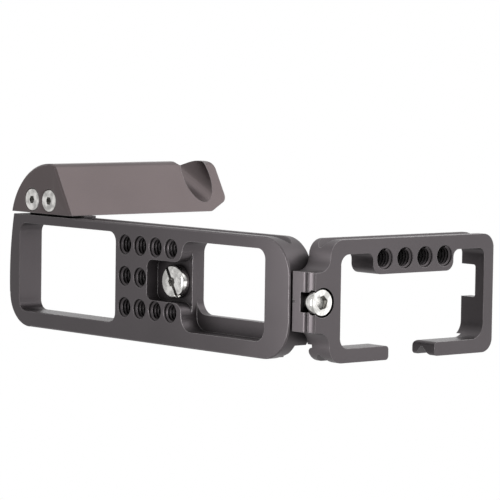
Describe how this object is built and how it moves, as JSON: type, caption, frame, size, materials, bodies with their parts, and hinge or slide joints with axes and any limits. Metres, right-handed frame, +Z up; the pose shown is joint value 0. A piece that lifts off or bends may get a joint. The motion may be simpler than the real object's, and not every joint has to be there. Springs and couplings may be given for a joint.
{
  "type": "camera l-bracket",
  "caption": "Camera L-bracket with a hand grip: a windowed base plate with tapped holes and a sliding camera screw, and a side plate held by a lock screw.",
  "frame": {"origin": "on the camera screw's axis, in the camera's seat (the base plate's top face)", "axes": "the camera's own axes: +X along the base plate towards the side plate, +Y from the lens side to the rear, +Z up"},
  "size_m": [0.1555, 0.0557, 0.0771],
  "materials": {
    "anodised": "dark titanium grey anodised, satin",
    "anodised_grip": "dark titanium grey anodised, satin",
    "steel": "turned stainless steel",
    "nylon": "matt"
  },
  "bodies": {
    "base": {"base_plate": "anodised", "grip": "anodised_grip", "grip_screws": "steel"},
    "screw_carriage": {"camera_screw_washer": "nylon"},
    "camera_screw": {"camera_screw": "steel"},
    "side": {"side_plate": "anodised", "guide_pins": "steel"},
    "lock": {"lock_screw": "steel", "lock_screw_clip": "steel"}
  },
  "joints": [
    {"name": "camera_screw_slide", "type": "slide", "parent": "base", "child": "screw_carriage", "axis": [1, 0, 0], "range_m": [-0.005, 0.0014]},
    {"name": "camera_screw_turn", "type": "hinge", "parent": "screw_carriage", "child": "camera_screw", "pos_m": [0, 0, 0], "axis": [0, 0, 1], "continuous": true},
    {"name": "side_slide", "type": "slide", "parent": "base", "child": "side", "axis": [1, 0, 0], "range_m": [0, 0.0064]},
    {"name": "lock_turn", "type": "hinge", "parent": "side", "child": "lock", "pos_m": [0.06969, 0.0016, -0.0052], "axis": [1, 0, 0], "range_deg": [0, 2880]}
  ],
  "couplings": [
    {"joint": "lock_turn", "follows": "side_slide", "rad_per_m": 7854}
  ]
}
